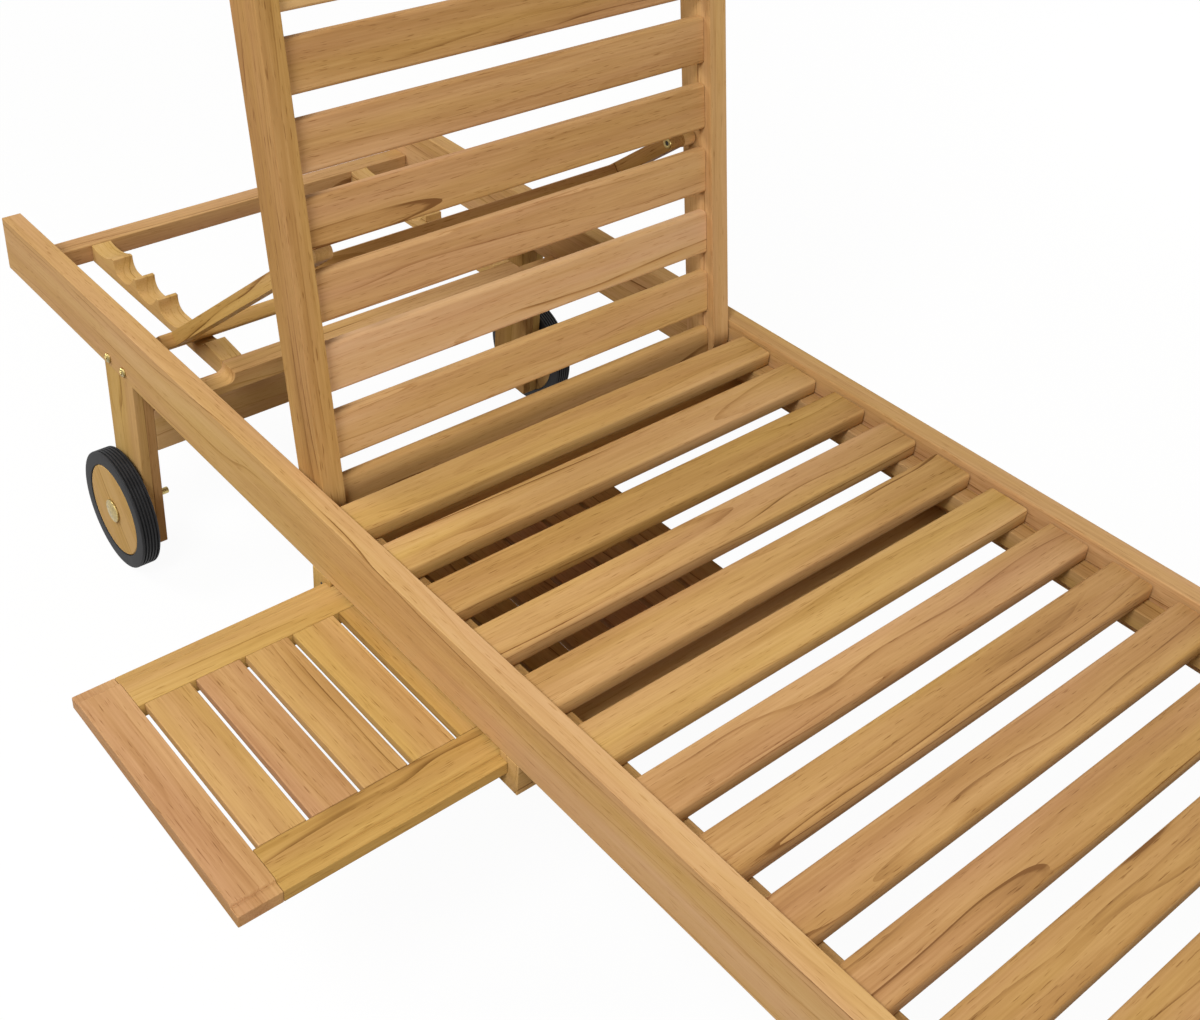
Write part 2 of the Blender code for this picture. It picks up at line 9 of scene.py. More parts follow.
import bmesh
import bpy
import numpy as np
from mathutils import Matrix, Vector


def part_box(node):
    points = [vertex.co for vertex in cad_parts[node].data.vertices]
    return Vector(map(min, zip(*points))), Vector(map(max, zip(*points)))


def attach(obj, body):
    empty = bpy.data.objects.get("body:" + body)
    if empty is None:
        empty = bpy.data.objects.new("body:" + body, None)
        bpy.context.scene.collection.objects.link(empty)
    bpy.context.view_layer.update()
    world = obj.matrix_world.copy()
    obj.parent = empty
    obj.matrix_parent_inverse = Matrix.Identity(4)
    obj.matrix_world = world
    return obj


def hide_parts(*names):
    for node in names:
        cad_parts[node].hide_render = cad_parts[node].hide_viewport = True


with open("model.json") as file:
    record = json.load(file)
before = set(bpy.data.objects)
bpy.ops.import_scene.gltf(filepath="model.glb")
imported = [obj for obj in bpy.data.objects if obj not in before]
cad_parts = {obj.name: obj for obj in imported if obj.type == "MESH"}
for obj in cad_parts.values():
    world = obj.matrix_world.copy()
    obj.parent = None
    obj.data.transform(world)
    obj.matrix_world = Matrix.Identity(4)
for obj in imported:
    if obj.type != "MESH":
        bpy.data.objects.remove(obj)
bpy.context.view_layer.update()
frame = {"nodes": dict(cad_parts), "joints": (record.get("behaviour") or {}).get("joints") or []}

# Long rails
# Two straight teak boards on edge, 26 by 77 mm, sawn, planed and lightly oiled, with the arrises just taken
# off. The head ends are cut square. Every other part of the frame is fixed to them.
LENGTHWISE = Vector((0, 1, 0))
CROSSWISE = Vector((1, 0, 0))
UPRIGHT = Vector((0, 0, 1))
ARRIS = 0.0012
RAIL_ARRIS = 0.0018
# Figure of the teak: growth rings to a metre, and how far each feature pulls the tone of the wood
RINGS_PER_METRE = 135.0
RING_PULL = 0.52
CLOUD_PULL = 0.46
FIBRE_PULL = 0.30
PORE_PULL = 0.22
MIDDLE_TONE = 0.60
TONE_STOPS = (0.10, 0.38, 0.60, 0.90)
BLUSH_SWING = 1.6
TEAK_SHEEN = 0.07


def node(tree, kind, sockets=None, **settings):
    """Add a node to a tree: each named socket gets a value, or a link from another node's output."""
    made = tree.nodes.new(kind)
    for key, value in settings.items():
        setattr(made, key, value)
    for key, value in (sockets or {}).items():
        if isinstance(value, bpy.types.NodeSocket):
            tree.links.new(value, made.inputs[key])
        else:
            made.inputs[key].default_value = value
    return made


def reckon(tree, operation, first, second=0.0):
    """One step of arithmetic in a node tree."""
    return node(tree, "ShaderNodeMath", {0: first, 1: second}, operation=operation).outputs[0]


def reckon_vector(tree, operation, first, second):
    """One step of vector arithmetic in a node tree."""
    return node(tree, "ShaderNodeVectorMath", {0: first, 1: second}, operation=operation).outputs[0]


def distance(tree, place):
    """How far a place is from the origin."""
    return node(tree, "ShaderNodeVectorMath", {0: place}, operation="LENGTH").outputs["Value"]


def remap(tree, value, start, end, low=0.0, high=1.0, shape="LINEAR"):
    """Carry a value from one range over to another, held at both ends."""
    sockets = {"Value": value, "From Min": start, "From Max": end, "To Min": low, "To Max": high}
    return node(tree, "ShaderNodeMapRange", sockets, interpolation_type=shape).outputs[0]


def streaks(tree, grain, stretch, detail):
    """Noise drawn out along the grain; stretch is its frequency along, across and through the board."""
    drawn = reckon_vector(tree, "MULTIPLY", grain, stretch)
    return node(tree, "ShaderNodeTexNoise", {"Vector": drawn, "Scale": 1.0, "Detail": detail})


def ramp(tree, factor, stops):
    """A colour ramp through the given places and colours."""
    made = node(tree, "ShaderNodeValToRGB", {0: factor})
    band = made.color_ramp
    while len(band.elements) < len(stops):
        band.elements.new(0.5)
    for element, (place, colour) in zip(band.elements, stops):
        element.position = place
        element.color = (*colour, 1)
    return made.outputs[0]


def make_teak(name, honey, rose):
    """Teak whose figure follows two attributes of each board: its place in the log, and its tone."""
    material = bpy.data.materials.new(name)
    material.use_nodes = True
    tree = material.node_tree
    shader = tree.nodes["Principled BSDF"]
    grain = node(tree, "ShaderNodeAttribute", attribute_name="grain").outputs["Vector"]
    tone_of_board = node(tree, "ShaderNodeAttribute", attribute_name="board").outputs["Vector"]
    split = node(tree, "ShaderNodeSeparateXYZ", {0: tone_of_board})
    # Growth rings: the distance from the heart of the log, which wanders along the trunk
    drift = streaks(tree, grain, (2.0, 10.0, 10.0), 2.0).outputs["Color"]
    drift = reckon_vector(tree, "SUBTRACT", drift, (0.5, 0.5, 0.5))
    drift = reckon_vector(tree, "MULTIPLY", drift, (0, 0.042, 0.042))
    flat = reckon_vector(tree, "MULTIPLY", grain, (0, 1, 1))
    radius = distance(tree, reckon_vector(tree, "ADD", flat, drift))
    year = reckon(tree, "FRACT", reckon(tree, "MULTIPLY", radius, RINGS_PER_METRE))
    # Late wood darkens towards the end of each year and closes with a thin line
    late = reckon(tree, "MULTIPLY", remap(tree, year, 0.35, 1.0, shape="SMOOTHSTEP"), 0.35)
    line = reckon(tree, "MULTIPLY", remap(tree, year, 0.88, 0.95), 0.65)
    late = reckon(tree, "ADD", late, line)
    # Some years are stronger than others, and the lines come and go along the board
    along_radius = reckon(tree, "MULTIPLY", radius, 150.0)
    strength = node(tree, "ShaderNodeTexNoise", {"W": along_radius, "Scale": 1.0}, noise_dimensions="1D")
    strength = remap(tree, strength.outputs[0], 0.44, 0.74)
    broken = remap(tree, streaks(tree, grain, (7.0, 45.0, 45.0), 2.0).outputs[0], 0.36, 0.58)
    rings = reckon(tree, "MULTIPLY", reckon(tree, "MULTIPLY", late, strength), broken)
    # Fibres, pores and the slow change of tone over a board
    fibre = streaks(tree, grain, (13.0, 420.0, 420.0), 3.0).outputs[0]
    pore = remap(tree, streaks(tree, grain, (48.0, 800.0, 800.0), 1.0).outputs[0], 0.64, 0.74)
    cloud = streaks(tree, grain, (2.6, 30.0, 30.0), 2.0).outputs[0]
    tone = reckon(tree, "MULTIPLY", reckon(tree, "SUBTRACT", cloud, 0.5), CLOUD_PULL)
    fibre_tone = reckon(tree, "MULTIPLY", reckon(tree, "SUBTRACT", fibre, 0.5), FIBRE_PULL)
    tone = reckon(tree, "ADD", tone, fibre_tone)
    tone = reckon(tree, "SUBTRACT", tone, reckon(tree, "MULTIPLY", rings, RING_PULL))
    tone = reckon(tree, "SUBTRACT", tone, reckon(tree, "MULTIPLY", pore, PORE_PULL))
    tone = reckon(tree, "ADD", tone, split.outputs[0])
    tone = reckon(tree, "ADD", tone, MIDDLE_TONE)
    # The tone picks a colour from a honey row and a rosy row; how rosy the board is drifts along it
    warm = ramp(tree, tone, list(zip(TONE_STOPS, honey)))
    pink = ramp(tree, tone, list(zip(TONE_STOPS, rose)))
    blush = streaks(tree, grain, (1.8, 24.0, 24.0), 2.0).outputs[0]
    blush = reckon(tree, "MULTIPLY", reckon(tree, "SUBTRACT", blush, 0.5), BLUSH_SWING)
    blush = reckon(tree, "ADD", blush, split.outputs[1])
    colour = node(tree, "ShaderNodeMix", {"Factor": blush}, data_type="RGBA")
    tree.links.new(warm, colour.inputs[6])
    tree.links.new(pink, colour.inputs[7])
    tree.links.new(colour.outputs[2], shader.inputs["Base Color"])
    tree.links.new(remap(tree, fibre, 0.0, 1.0, 0.52, 0.72), shader.inputs["Roughness"])
    shader.inputs["Specular IOR Level"].default_value = TEAK_SHEEN
    height = reckon(tree, "SUBTRACT", fibre, pore)
    bump = node(tree, "ShaderNodeBump", {"Height": height, "Strength": 0.18, "Distance": 0.0003})
    tree.links.new(bump.outputs[0], shader.inputs["Normal"])
    return material


oiled_teak = make_teak(
    "oiled_teak",
    honey=((0.190, 0.090, 0.020), (0.405, 0.232, 0.062), (0.545, 0.342, 0.108), (0.670, 0.464, 0.200)),
    rose=((0.205, 0.088, 0.036), (0.415, 0.216, 0.098), (0.555, 0.322, 0.166), (0.675, 0.435, 0.268)))


def settle(obj):
    """Apply a piece's modifiers: it keeps the finished mesh and loses them."""
    bpy.context.view_layer.update()
    depsgraph = bpy.context.evaluated_depsgraph_get()
    finished = obj.evaluated_get(depsgraph)
    mesh = bpy.data.meshes.new_from_object(finished, preserve_all_data_layers=True, depsgraph=depsgraph)
    obj.modifiers.clear()
    obj.data = mesh
    return obj


def lay_grain(obj, along, across, tone, rosy, heart=None):
    """Write where a board lay in the log, measured from its heart along, across and through the board."""
    chance = random.Random(obj.name)
    count = len(obj.data.vertices)
    places = np.zeros(3 * count, np.float32)
    obj.data.vertices.foreach_get("co", places)
    places = places.reshape(count, 3)
    places = places - (places.min(0) + places.max(0)) / 2
    axes = np.array([along, across, along.cross(across)])
    if heart is None:
        heart = (chance.uniform(2, 20), chance.uniform(-0.03, 0.03), chance.uniform(0.03, 0.09))
    grain = places @ axes.T + np.array(heart)
    attribute = obj.data.attributes.new("grain", "FLOAT_VECTOR", "POINT")
    attribute.data.foreach_set("vector", grain.astype(np.float32).ravel())
    tones = (tone + chance.uniform(-0.05, 0.05), rosy + chance.uniform(-0.12, 0.12), 0)
    attribute = obj.data.attributes.new("board", "FLOAT_VECTOR", "POINT")
    attribute.data.foreach_set("vector", np.tile(np.array(tones, np.float32), count))


def make_piece(name, bm, material):
    """A new piece from a finished bmesh."""
    mesh = bpy.data.meshes.new(name)
    bm.to_mesh(mesh)
    bm.free()
    mesh.materials.append(material)
    mesh.shade_smooth()
    obj = bpy.data.objects.new(name, mesh)
    bpy.context.scene.collection.objects.link(obj)
    return obj


def ease(obj, width, sharper_than=40):
    """Take the arrises off a piece and keep its flat faces flat in the shading."""
    bevel = obj.modifiers.new("eased arris", "BEVEL")
    bevel.width = width
    bevel.segments = 2
    bevel.limit_method = "ANGLE"
    bevel.angle_limit = math.radians(sharper_than)
    obj.modifiers.new("true faces", "WEIGHTED_NORMAL")
    return settle(obj)


def solid_copy(solid):
    """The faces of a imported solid, joined into whole flat faces."""
    mesh = frame["nodes"][solid].data
    bm = bmesh.new()
    corners = [bm.verts.new(v.co) for v in mesh.vertices]
    for face in mesh.polygons:
        bm.faces.new([corners[i] for i in face.vertices])
    bmesh.ops.remove_doubles(bm, verts=bm.verts, dist=0.000002)
    bmesh.ops.dissolve_limit(bm, angle_limit=math.radians(1), verts=bm.verts, edges=bm.edges)
    return bm


def board(solid, body, along, across, tone=0.0, rosy=0.4, arris=ARRIS, heart=None):
    """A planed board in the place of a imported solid, with its arrises off and its grain laid."""
    piece = make_piece(solid + "_board", solid_copy(solid), oiled_teak)
    ease(piece, arris)
    lay_grain(piece, along, across, tone, rosy, heart)
    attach(piece, body)
    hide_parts(solid)


board("near_rail", "frame", LENGTHWISE, UPRIGHT, tone=0.02, rosy=0.60, arris=RAIL_ARRIS)
board("far_rail", "frame", LENGTHWISE, UPRIGHT, tone=-0.05, rosy=0.65, arris=RAIL_ARRIS)

# Cross rails and racks
# Head, rack and foot rails run between the long rails; two toothed racks, band-sawn and sanded, bridge the
# first two. Ledger strips inside the long rails carry the slats. All are teak, fixed from hidden sides.
RACK_ARRIS = 0.0008
for cross_rail in ("head_rail", "rack_rail", "foot_rail"):
    board(cross_rail, "frame", CROSSWISE, UPRIGHT, tone=0.0, rosy=0.6)
for rack in ("near_rack", "far_rack"):
    board(rack, "frame", LENGTHWISE, UPRIGHT, tone=0.03, rosy=0.25, arris=RACK_ARRIS)
for cleat in ("near_cleat", "far_cleat"):
    board(cleat, "frame", LENGTHWISE, UPRIGHT, tone=-0.04)

# Seat slats
# Fifteen planed slats with rounded long edges, laid on the ledger strips a finger's width apart.
# Each is cut from a different board, so tone and figure change from slat to slat.
SEAT_ROUND = 0.0036
END_EASE = 0.0008
END_DRAW_IN = 0.95


def written(tree, name):
    """Read back a direction or place that was written on the geometry."""
    return node(tree, "GeometryNodeInputNamedAttribute", {"Name": name}, data_type="FLOAT_VECTOR").outputs[0]


def make_slat_row():
    """A row of like slats: a rounded section drawn to length, its ends eased, set out at an even pitch."""
    tree = bpy.data.node_groups.new("slat row", "GeometryNodeTree")
    sockets = (("Length", "Float"), ("Width", "Float"), ("Thickness", "Float"), ("Round", "Float"),
               ("Pitch", "Float"), ("Count", "Int"), ("Place", "Vector"), ("Turn", "Vector"),
               ("Tone Low", "Vector"), ("Tone High", "Vector"), ("Seed", "Int"), ("Wood", "Material"))
    for name, kind in sockets:
        tree.interface.new_socket(name, in_out="INPUT", socket_type="NodeSocket" + kind)
    tree.interface.new_socket("Slats", in_out="OUTPUT", socket_type="NodeSocketGeometry")
    given = tree.nodes.new("NodeGroupInput").outputs
    outline = node(tree, "GeometryNodeCurvePrimitiveQuadrilateral",
                   {"Width": given["Width"], "Height": given["Thickness"]}).outputs[0]
    outline = node(tree, "GeometryNodeFilletCurve",
                   {"Curve": outline, "Count": 4, "Radius": given["Round"]}, mode="POLY").outputs[0]
    half = reckon(tree, "SUBTRACT", reckon(tree, "MULTIPLY", given["Length"], 0.5), END_EASE)
    start = node(tree, "ShaderNodeCombineXYZ", {0: reckon(tree, "MULTIPLY", half, -1.0)}).outputs[0]
    end = node(tree, "ShaderNodeCombineXYZ", {0: half}).outputs[0]
    line = node(tree, "GeometryNodeCurvePrimitiveLine", {"Start": start, "End": end}).outputs[0]
    slat = node(tree, "GeometryNodeCurveToMesh",
                {"Curve": line, "Profile Curve": outline, "Fill Caps": True}).outputs[0]
    facing = node(tree, "ShaderNodeSeparateXYZ", {0: tree.nodes.new("GeometryNodeInputNormal").outputs[0]})
    is_end = reckon(tree, "GREATER_THAN", reckon(tree, "ABSOLUTE", facing.outputs[0]), 0.9)
    pushed = node(tree, "GeometryNodeExtrudeMesh",
                  {"Mesh": slat, "Selection": is_end, "Offset Scale": END_EASE, "Individual": False})
    slat = node(tree, "GeometryNodeScaleElements",
                {"Geometry": pushed.outputs["Mesh"], "Selection": pushed.outputs["Top"],
                 "Scale": END_DRAW_IN}).outputs[0]
    where = tree.nodes.new("GeometryNodeInputPosition").outputs[0]
    slat = node(tree, "GeometryNodeStoreNamedAttribute",
                {"Geometry": slat, "Name": "grain", "Value": where},
                data_type="FLOAT_VECTOR", domain="POINT").outputs[0]
    step = node(tree, "ShaderNodeCombineXYZ", {1: given["Pitch"]}).outputs[0]
    stations = node(tree, "GeometryNodeMeshLine", {"Count": given["Count"], "Offset": step}).outputs[0]
    row = node(tree, "GeometryNodeInstanceOnPoints", {"Points": stations, "Instance": slat}).outputs[0]
    tone = node(tree, "FunctionNodeRandomValue",
                {0: given["Tone Low"], 1: given["Tone High"], "Seed": given["Seed"]},
                data_type="FLOAT_VECTOR")
    row = node(tree, "GeometryNodeStoreNamedAttribute",
               {"Geometry": row, "Name": "board", "Value": tone.outputs[0]},
               data_type="FLOAT_VECTOR", domain="INSTANCE").outputs[0]
    heart_seed = reckon(tree, "ADD", given["Seed"], 40)
    heart = node(tree, "FunctionNodeRandomValue",
                 {0: (2.0, -0.03, 0.010), 1: (20.0, 0.03, 0.055), "Seed": heart_seed},
                 data_type="FLOAT_VECTOR")
    row = node(tree, "GeometryNodeStoreNamedAttribute",
               {"Geometry": row, "Name": "heart", "Value": heart.outputs[0]},
               data_type="FLOAT_VECTOR", domain="INSTANCE").outputs[0]
    row = node(tree, "GeometryNodeRealizeInstances", {"Geometry": row}).outputs[0]
    grain = reckon_vector(tree, "ADD", written(tree, "grain"), written(tree, "heart"))
    row = node(tree, "GeometryNodeStoreNamedAttribute", {"Geometry": row, "Name": "grain", "Value": grain},
               data_type="FLOAT_VECTOR", domain="POINT").outputs[0]
    row = node(tree, "GeometryNodeRemoveAttribute", {"Geometry": row, "Name": "heart"}).outputs[0]
    turn = node(tree, "FunctionNodeEulerToRotation", {0: given["Turn"]}).outputs[0]
    row = node(tree, "GeometryNodeTransform",
               {"Geometry": row, "Translation": given["Place"], "Rotation": turn}).outputs[0]
    row = node(tree, "GeometryNodeSetMaterial", {"Geometry": row, "Material": given["Wood"]}).outputs[0]
    node(tree, "NodeGroupOutput", {0: row})
    return tree


def set_out(name, tree, sizes, base=None):
    """Run a node tree with the given sizes and keep what it makes as a plain mesh."""
    obj = bpy.data.objects.new(name, base or bpy.data.meshes.new(name))
    bpy.context.scene.collection.objects.link(obj)
    modifier = obj.modifiers.new(name, "NODES")
    modifier.node_group = tree
    for socket in tree.interface.items_tree:
        if socket.in_out == "INPUT" and socket.name in sizes:
            modifier[socket.identifier] = sizes[socket.name]
    obj.modifiers.new("true faces", "WEIGHTED_NORMAL")
    settle(obj)
    obj.data.shade_smooth()
    return obj


slat_row = make_slat_row()
seat_nodes = [name for name in sorted(frame["nodes"]) if name.startswith("seat_slat")]
low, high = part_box(seat_nodes[0])
seat_size = high - low
seat_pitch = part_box(seat_nodes[1])[0].y - low.y
seat_slats = set_out("seat_slats", slat_row, {
    "Length": seat_size.x, "Width": seat_size.y, "Thickness": seat_size.z, "Round": SEAT_ROUND,
    "Pitch": seat_pitch, "Count": len(seat_nodes), "Place": (low + high) / 2, "Turn": (0.0, 0.0, 0.0),
    "Tone Low": (-0.26, 0.15, 0.0), "Tone High": (-0.01, 0.62, 0.0), "Seed": 3272, "Wood": oiled_teak})
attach(seat_slats, "frame")
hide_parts(*seat_nodes)

# Legs and stretcher
# Leg boards under the rails, two plies glued face to face, bolted through the rails near their tops.
# A board between the wheel legs keeps them square; the foot legs stand on the floor.
OUTER_PLY = 0.0127
PLY_ARRIS = 0.0009


def ply(name, solid, glue_x, side_kept, tone, rosy):
    """One ply of a leg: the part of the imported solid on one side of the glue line."""
    bm = solid_copy(solid)
    cut = bmesh.ops.bisect_plane(bm, geom=bm.verts[:] + bm.edges[:] + bm.faces[:], plane_co=(glue_x, 0, 0),
                                 plane_no=(side_kept, 0, 0), clear_inner=True)
    rim = [edge for edge in cut["geom_cut"] if isinstance(edge, bmesh.types.BMEdge)]
    bmesh.ops.triangle_fill(bm, edges=rim, use_beauty=True, use_dissolve=True)
    bmesh.ops.recalc_face_normals(bm, faces=bm.faces)
    piece = make_piece(name, bm, oiled_teak)
    ease(piece, PLY_ARRIS)
    lay_grain(piece, UPRIGHT, LENGTHWISE, tone, rosy)
    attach(piece, "frame")
    return piece


for leg_name in ("near_wheel_leg", "far_wheel_leg", "near_foot_leg", "far_foot_leg"):
    low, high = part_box(leg_name)
    outwards = -1 if leg_name.startswith("near") else 1
    glue_x = low.x + OUTER_PLY if outwards < 0 else high.x - OUTER_PLY
    outer_ply = ply(leg_name + "_outer_ply", leg_name, glue_x, outwards, tone=0.0, rosy=0.2)
    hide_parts(leg_name)
    # The inner ply's darker tone is painted shade, standing in for the shade on the legs' foot-facing faces.
    ply(leg_name + "_inner_ply", leg_name, glue_x, -outwards, tone=-0.22, rosy=0.40)
board("wheel_stretcher", "frame", CROSSWISE, UPRIGHT, tone=0.03, rosy=0.5)

# Bolts through the rails
# Two brass bolts hold each leg; their low heads, sunk in the middle, sit on the outer faces of the rails.
# Turned and left satin; the shanks are hidden in rail and leg.
BOLT_R = 0.0062
BOLT_RISE = 0.0034
BOLT_SPREAD = 0.0203
BOLT_OVER_RAIL_FOOT = 0.0122


def make_metal(name, bright, dull, rough_low, rough_high, metallic):
    """A worn, brushed-looking metal: dull patches and fine rub marks over a bright ground."""
    material = bpy.data.materials.new(name)
    material.use_nodes = True
    tree = material.node_tree
    shader = tree.nodes["Principled BSDF"]
    place = node(tree, "ShaderNodeTexCoord").outputs["Object"]
    patches = node(tree, "ShaderNodeTexNoise", {"Vector": place, "Scale": 260.0, "Detail": 4.0}).outputs[0]
    rubs = node(tree, "ShaderNodeTexNoise", {"Vector": place, "Scale": 1900.0, "Detail": 2.0}).outputs[0]
    colour = ramp(tree, patches, ((0.35, dull), (0.65, bright)))
    tree.links.new(colour, shader.inputs["Base Color"])
    rough = remap(tree, patches, 0.0, 1.0, rough_low, rough_high)
    tree.links.new(rough, shader.inputs["Roughness"])
    shader.inputs["Metallic"].default_value = metallic
    bump = node(tree, "ShaderNodeBump", {"Height": rubs, "Strength": 0.12, "Distance": 0.0002})
    tree.links.new(bump.outputs[0], shader.inputs["Normal"])
    return material


satin_brass = make_metal("satin_brass", bright=(0.56, 0.44, 0.18), dull=(0.34, 0.25, 0.09),
                         rough_low=0.28, rough_high=0.42, metallic=1.0)


def make_bolt_heads():
    """A bolt head with a sunk middle at each point, facing the way that the point's own attribute says."""
    tree = bpy.data.node_groups.new("bolt heads", "GeometryNodeTree")
    tree.interface.new_socket("Points", in_out="INPUT", socket_type="NodeSocketGeometry")
    for name, kind in (("Radius", "Float"), ("Rise", "Float"), ("Sides", "Int"), ("Metal", "Material")):
        tree.interface.new_socket(name, in_out="INPUT", socket_type="NodeSocket" + kind)
    tree.interface.new_socket("Heads", in_out="OUTPUT", socket_type="NodeSocketGeometry")
    given = tree.nodes.new("NodeGroupInput").outputs
    head = node(tree, "GeometryNodeMeshCircle", {"Vertices": given["Sides"], "Radius": given["Radius"]},
                fill_type="NGON").outputs[0]
    top = True
    # Rim, shoulder, lip and sunk middle of the head: share of the rise, and how far each step draws in
    for share, draw_in in ((0.55, 1.0), (0.45, 0.80), (0.0, 0.62), (-0.75, 0.85)):
        step = reckon(tree, "MULTIPLY", given["Rise"], share)
        raised = node(tree, "GeometryNodeExtrudeMesh",
                      {"Mesh": head, "Selection": top, "Offset Scale": step, "Individual": False})
        top = raised.outputs["Top"]
        head = node(tree, "GeometryNodeScaleElements",
                    {"Geometry": raised.outputs["Mesh"], "Selection": top, "Scale": draw_in}).outputs[0]
    facing = written(tree, "facing")
    turn = node(tree, "FunctionNodeAlignRotationToVector", {"Vector": facing}, axis="Z").outputs[0]
    heads = node(tree, "GeometryNodeInstanceOnPoints",
                 {"Points": given["Points"], "Instance": head, "Rotation": turn}).outputs[0]
    heads = node(tree, "GeometryNodeRealizeInstances", {"Geometry": heads}).outputs[0]
    heads = node(tree, "GeometryNodeSetMaterial",
                 {"Geometry": heads, "Material": given["Metal"]}).outputs[0]
    node(tree, "NodeGroupOutput", {0: heads})
    return tree


def marked_points(name, points):
    """Loose points that each carry the direction they face."""
    mesh = bpy.data.meshes.new(name)
    mesh.from_pydata([place for place, _ in points], [], [])
    attribute = mesh.attributes.new("facing", "FLOAT_VECTOR", "POINT")
    for spot, (_, facing) in zip(attribute.data, points):
        spot.vector = facing
    return mesh


bolt_heads = make_bolt_heads()
bolt_places = []
for rail, leg_names, outwards in (("near_rail", ("near_wheel_leg", "near_foot_leg"), -CROSSWISE),
                                  ("far_rail", ("far_wheel_leg", "far_foot_leg"), CROSSWISE)):
    rail_low, rail_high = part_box(rail)
    face = rail_low.x if outwards.x < 0 else rail_high.x
    for leg_name in leg_names:
        leg_low, leg_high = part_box(leg_name)
        middle = (leg_low.y + leg_high.y) / 2
        for step in (-BOLT_SPREAD, BOLT_SPREAD):
            bolt_places.append((Vector((face, middle + step, rail_low.z + BOLT_OVER_RAIL_FOOT)), outwards))
rail_bolts = set_out("rail_bolts", bolt_heads,
                     {"Radius": BOLT_R, "Rise": BOLT_RISE, "Sides": 20, "Metal": satin_brass},
                     base=marked_points("rail_bolts", bolt_places))
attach(rail_bolts, "frame")

# Wheels
# A black moulded tyre with ribs round its tread, pressed on a turned teak disc.
# The disc turns on a brass axle through the leg, held by a flat domed cap.


def turned(name, profile, centre, material, sides=96):
    """A shape turned about an axis along X through the centre, from a closed profile of (x, radius)."""
    bm = bmesh.new()
    rings = []
    for i in range(sides):
        angle = 2 * math.pi * i / sides
        spoke = Vector((0, math.cos(angle), math.sin(angle)))
        rings.append([bm.verts.new(Vector((x, centre.y, centre.z)) + r * spoke) for x, r in profile])
    for i in range(sides):
        here = rings[i]
        there = rings[(i + 1) % sides]
        for j in range(len(profile)):
            k = (j + 1) % len(profile)
            if profile[j][1] > 0 or profile[k][1] > 0:
                bm.faces.new((here[j], here[k], there[k], there[j]))
    bmesh.ops.remove_doubles(bm, verts=bm.verts, dist=0.000001)
    bmesh.ops.recalc_face_normals(bm, faces=bm.faces)
    piece = make_piece(name, bm, material)
    piece.data.set_sharp_from_angle(angle=math.radians(38))
    return piece


def bow(centre, radius, start, end, steps):
    """Points on part of a circle, angles in degrees."""
    turns = [math.radians(start + (end - start) * i / steps) for i in range(steps + 1)]
    return [(centre[0] + radius * math.cos(a), centre[1] + radius * math.sin(a)) for a in turns]


def make_rubber(name, ground, dusty):
    """Moulded rubber: satin black with a faint bloom and fine mould texture."""
    material = bpy.data.materials.new(name)
    material.use_nodes = True
    tree = material.node_tree
    shader = tree.nodes["Principled BSDF"]
    place = node(tree, "ShaderNodeTexCoord").outputs["Object"]
    bloom = node(tree, "ShaderNodeTexNoise", {"Vector": place, "Scale": 45.0, "Detail": 5.0}).outputs[0]
    pits = node(tree, "ShaderNodeTexNoise", {"Vector": place, "Scale": 2200.0, "Detail": 2.0}).outputs[0]
    colour = ramp(tree, bloom, ((0.38, ground), (0.72, dusty)))
    tree.links.new(colour, shader.inputs["Base Color"])
    tree.links.new(remap(tree, bloom, 0.0, 1.0, 0.50, 0.78), shader.inputs["Roughness"])
    shader.inputs["Specular IOR Level"].default_value = 0.30
    bump = node(tree, "ShaderNodeBump", {"Height": pits, "Strength": 0.15, "Distance": 0.0002})
    tree.links.new(bump.outputs[0], shader.inputs["Normal"])
    return material


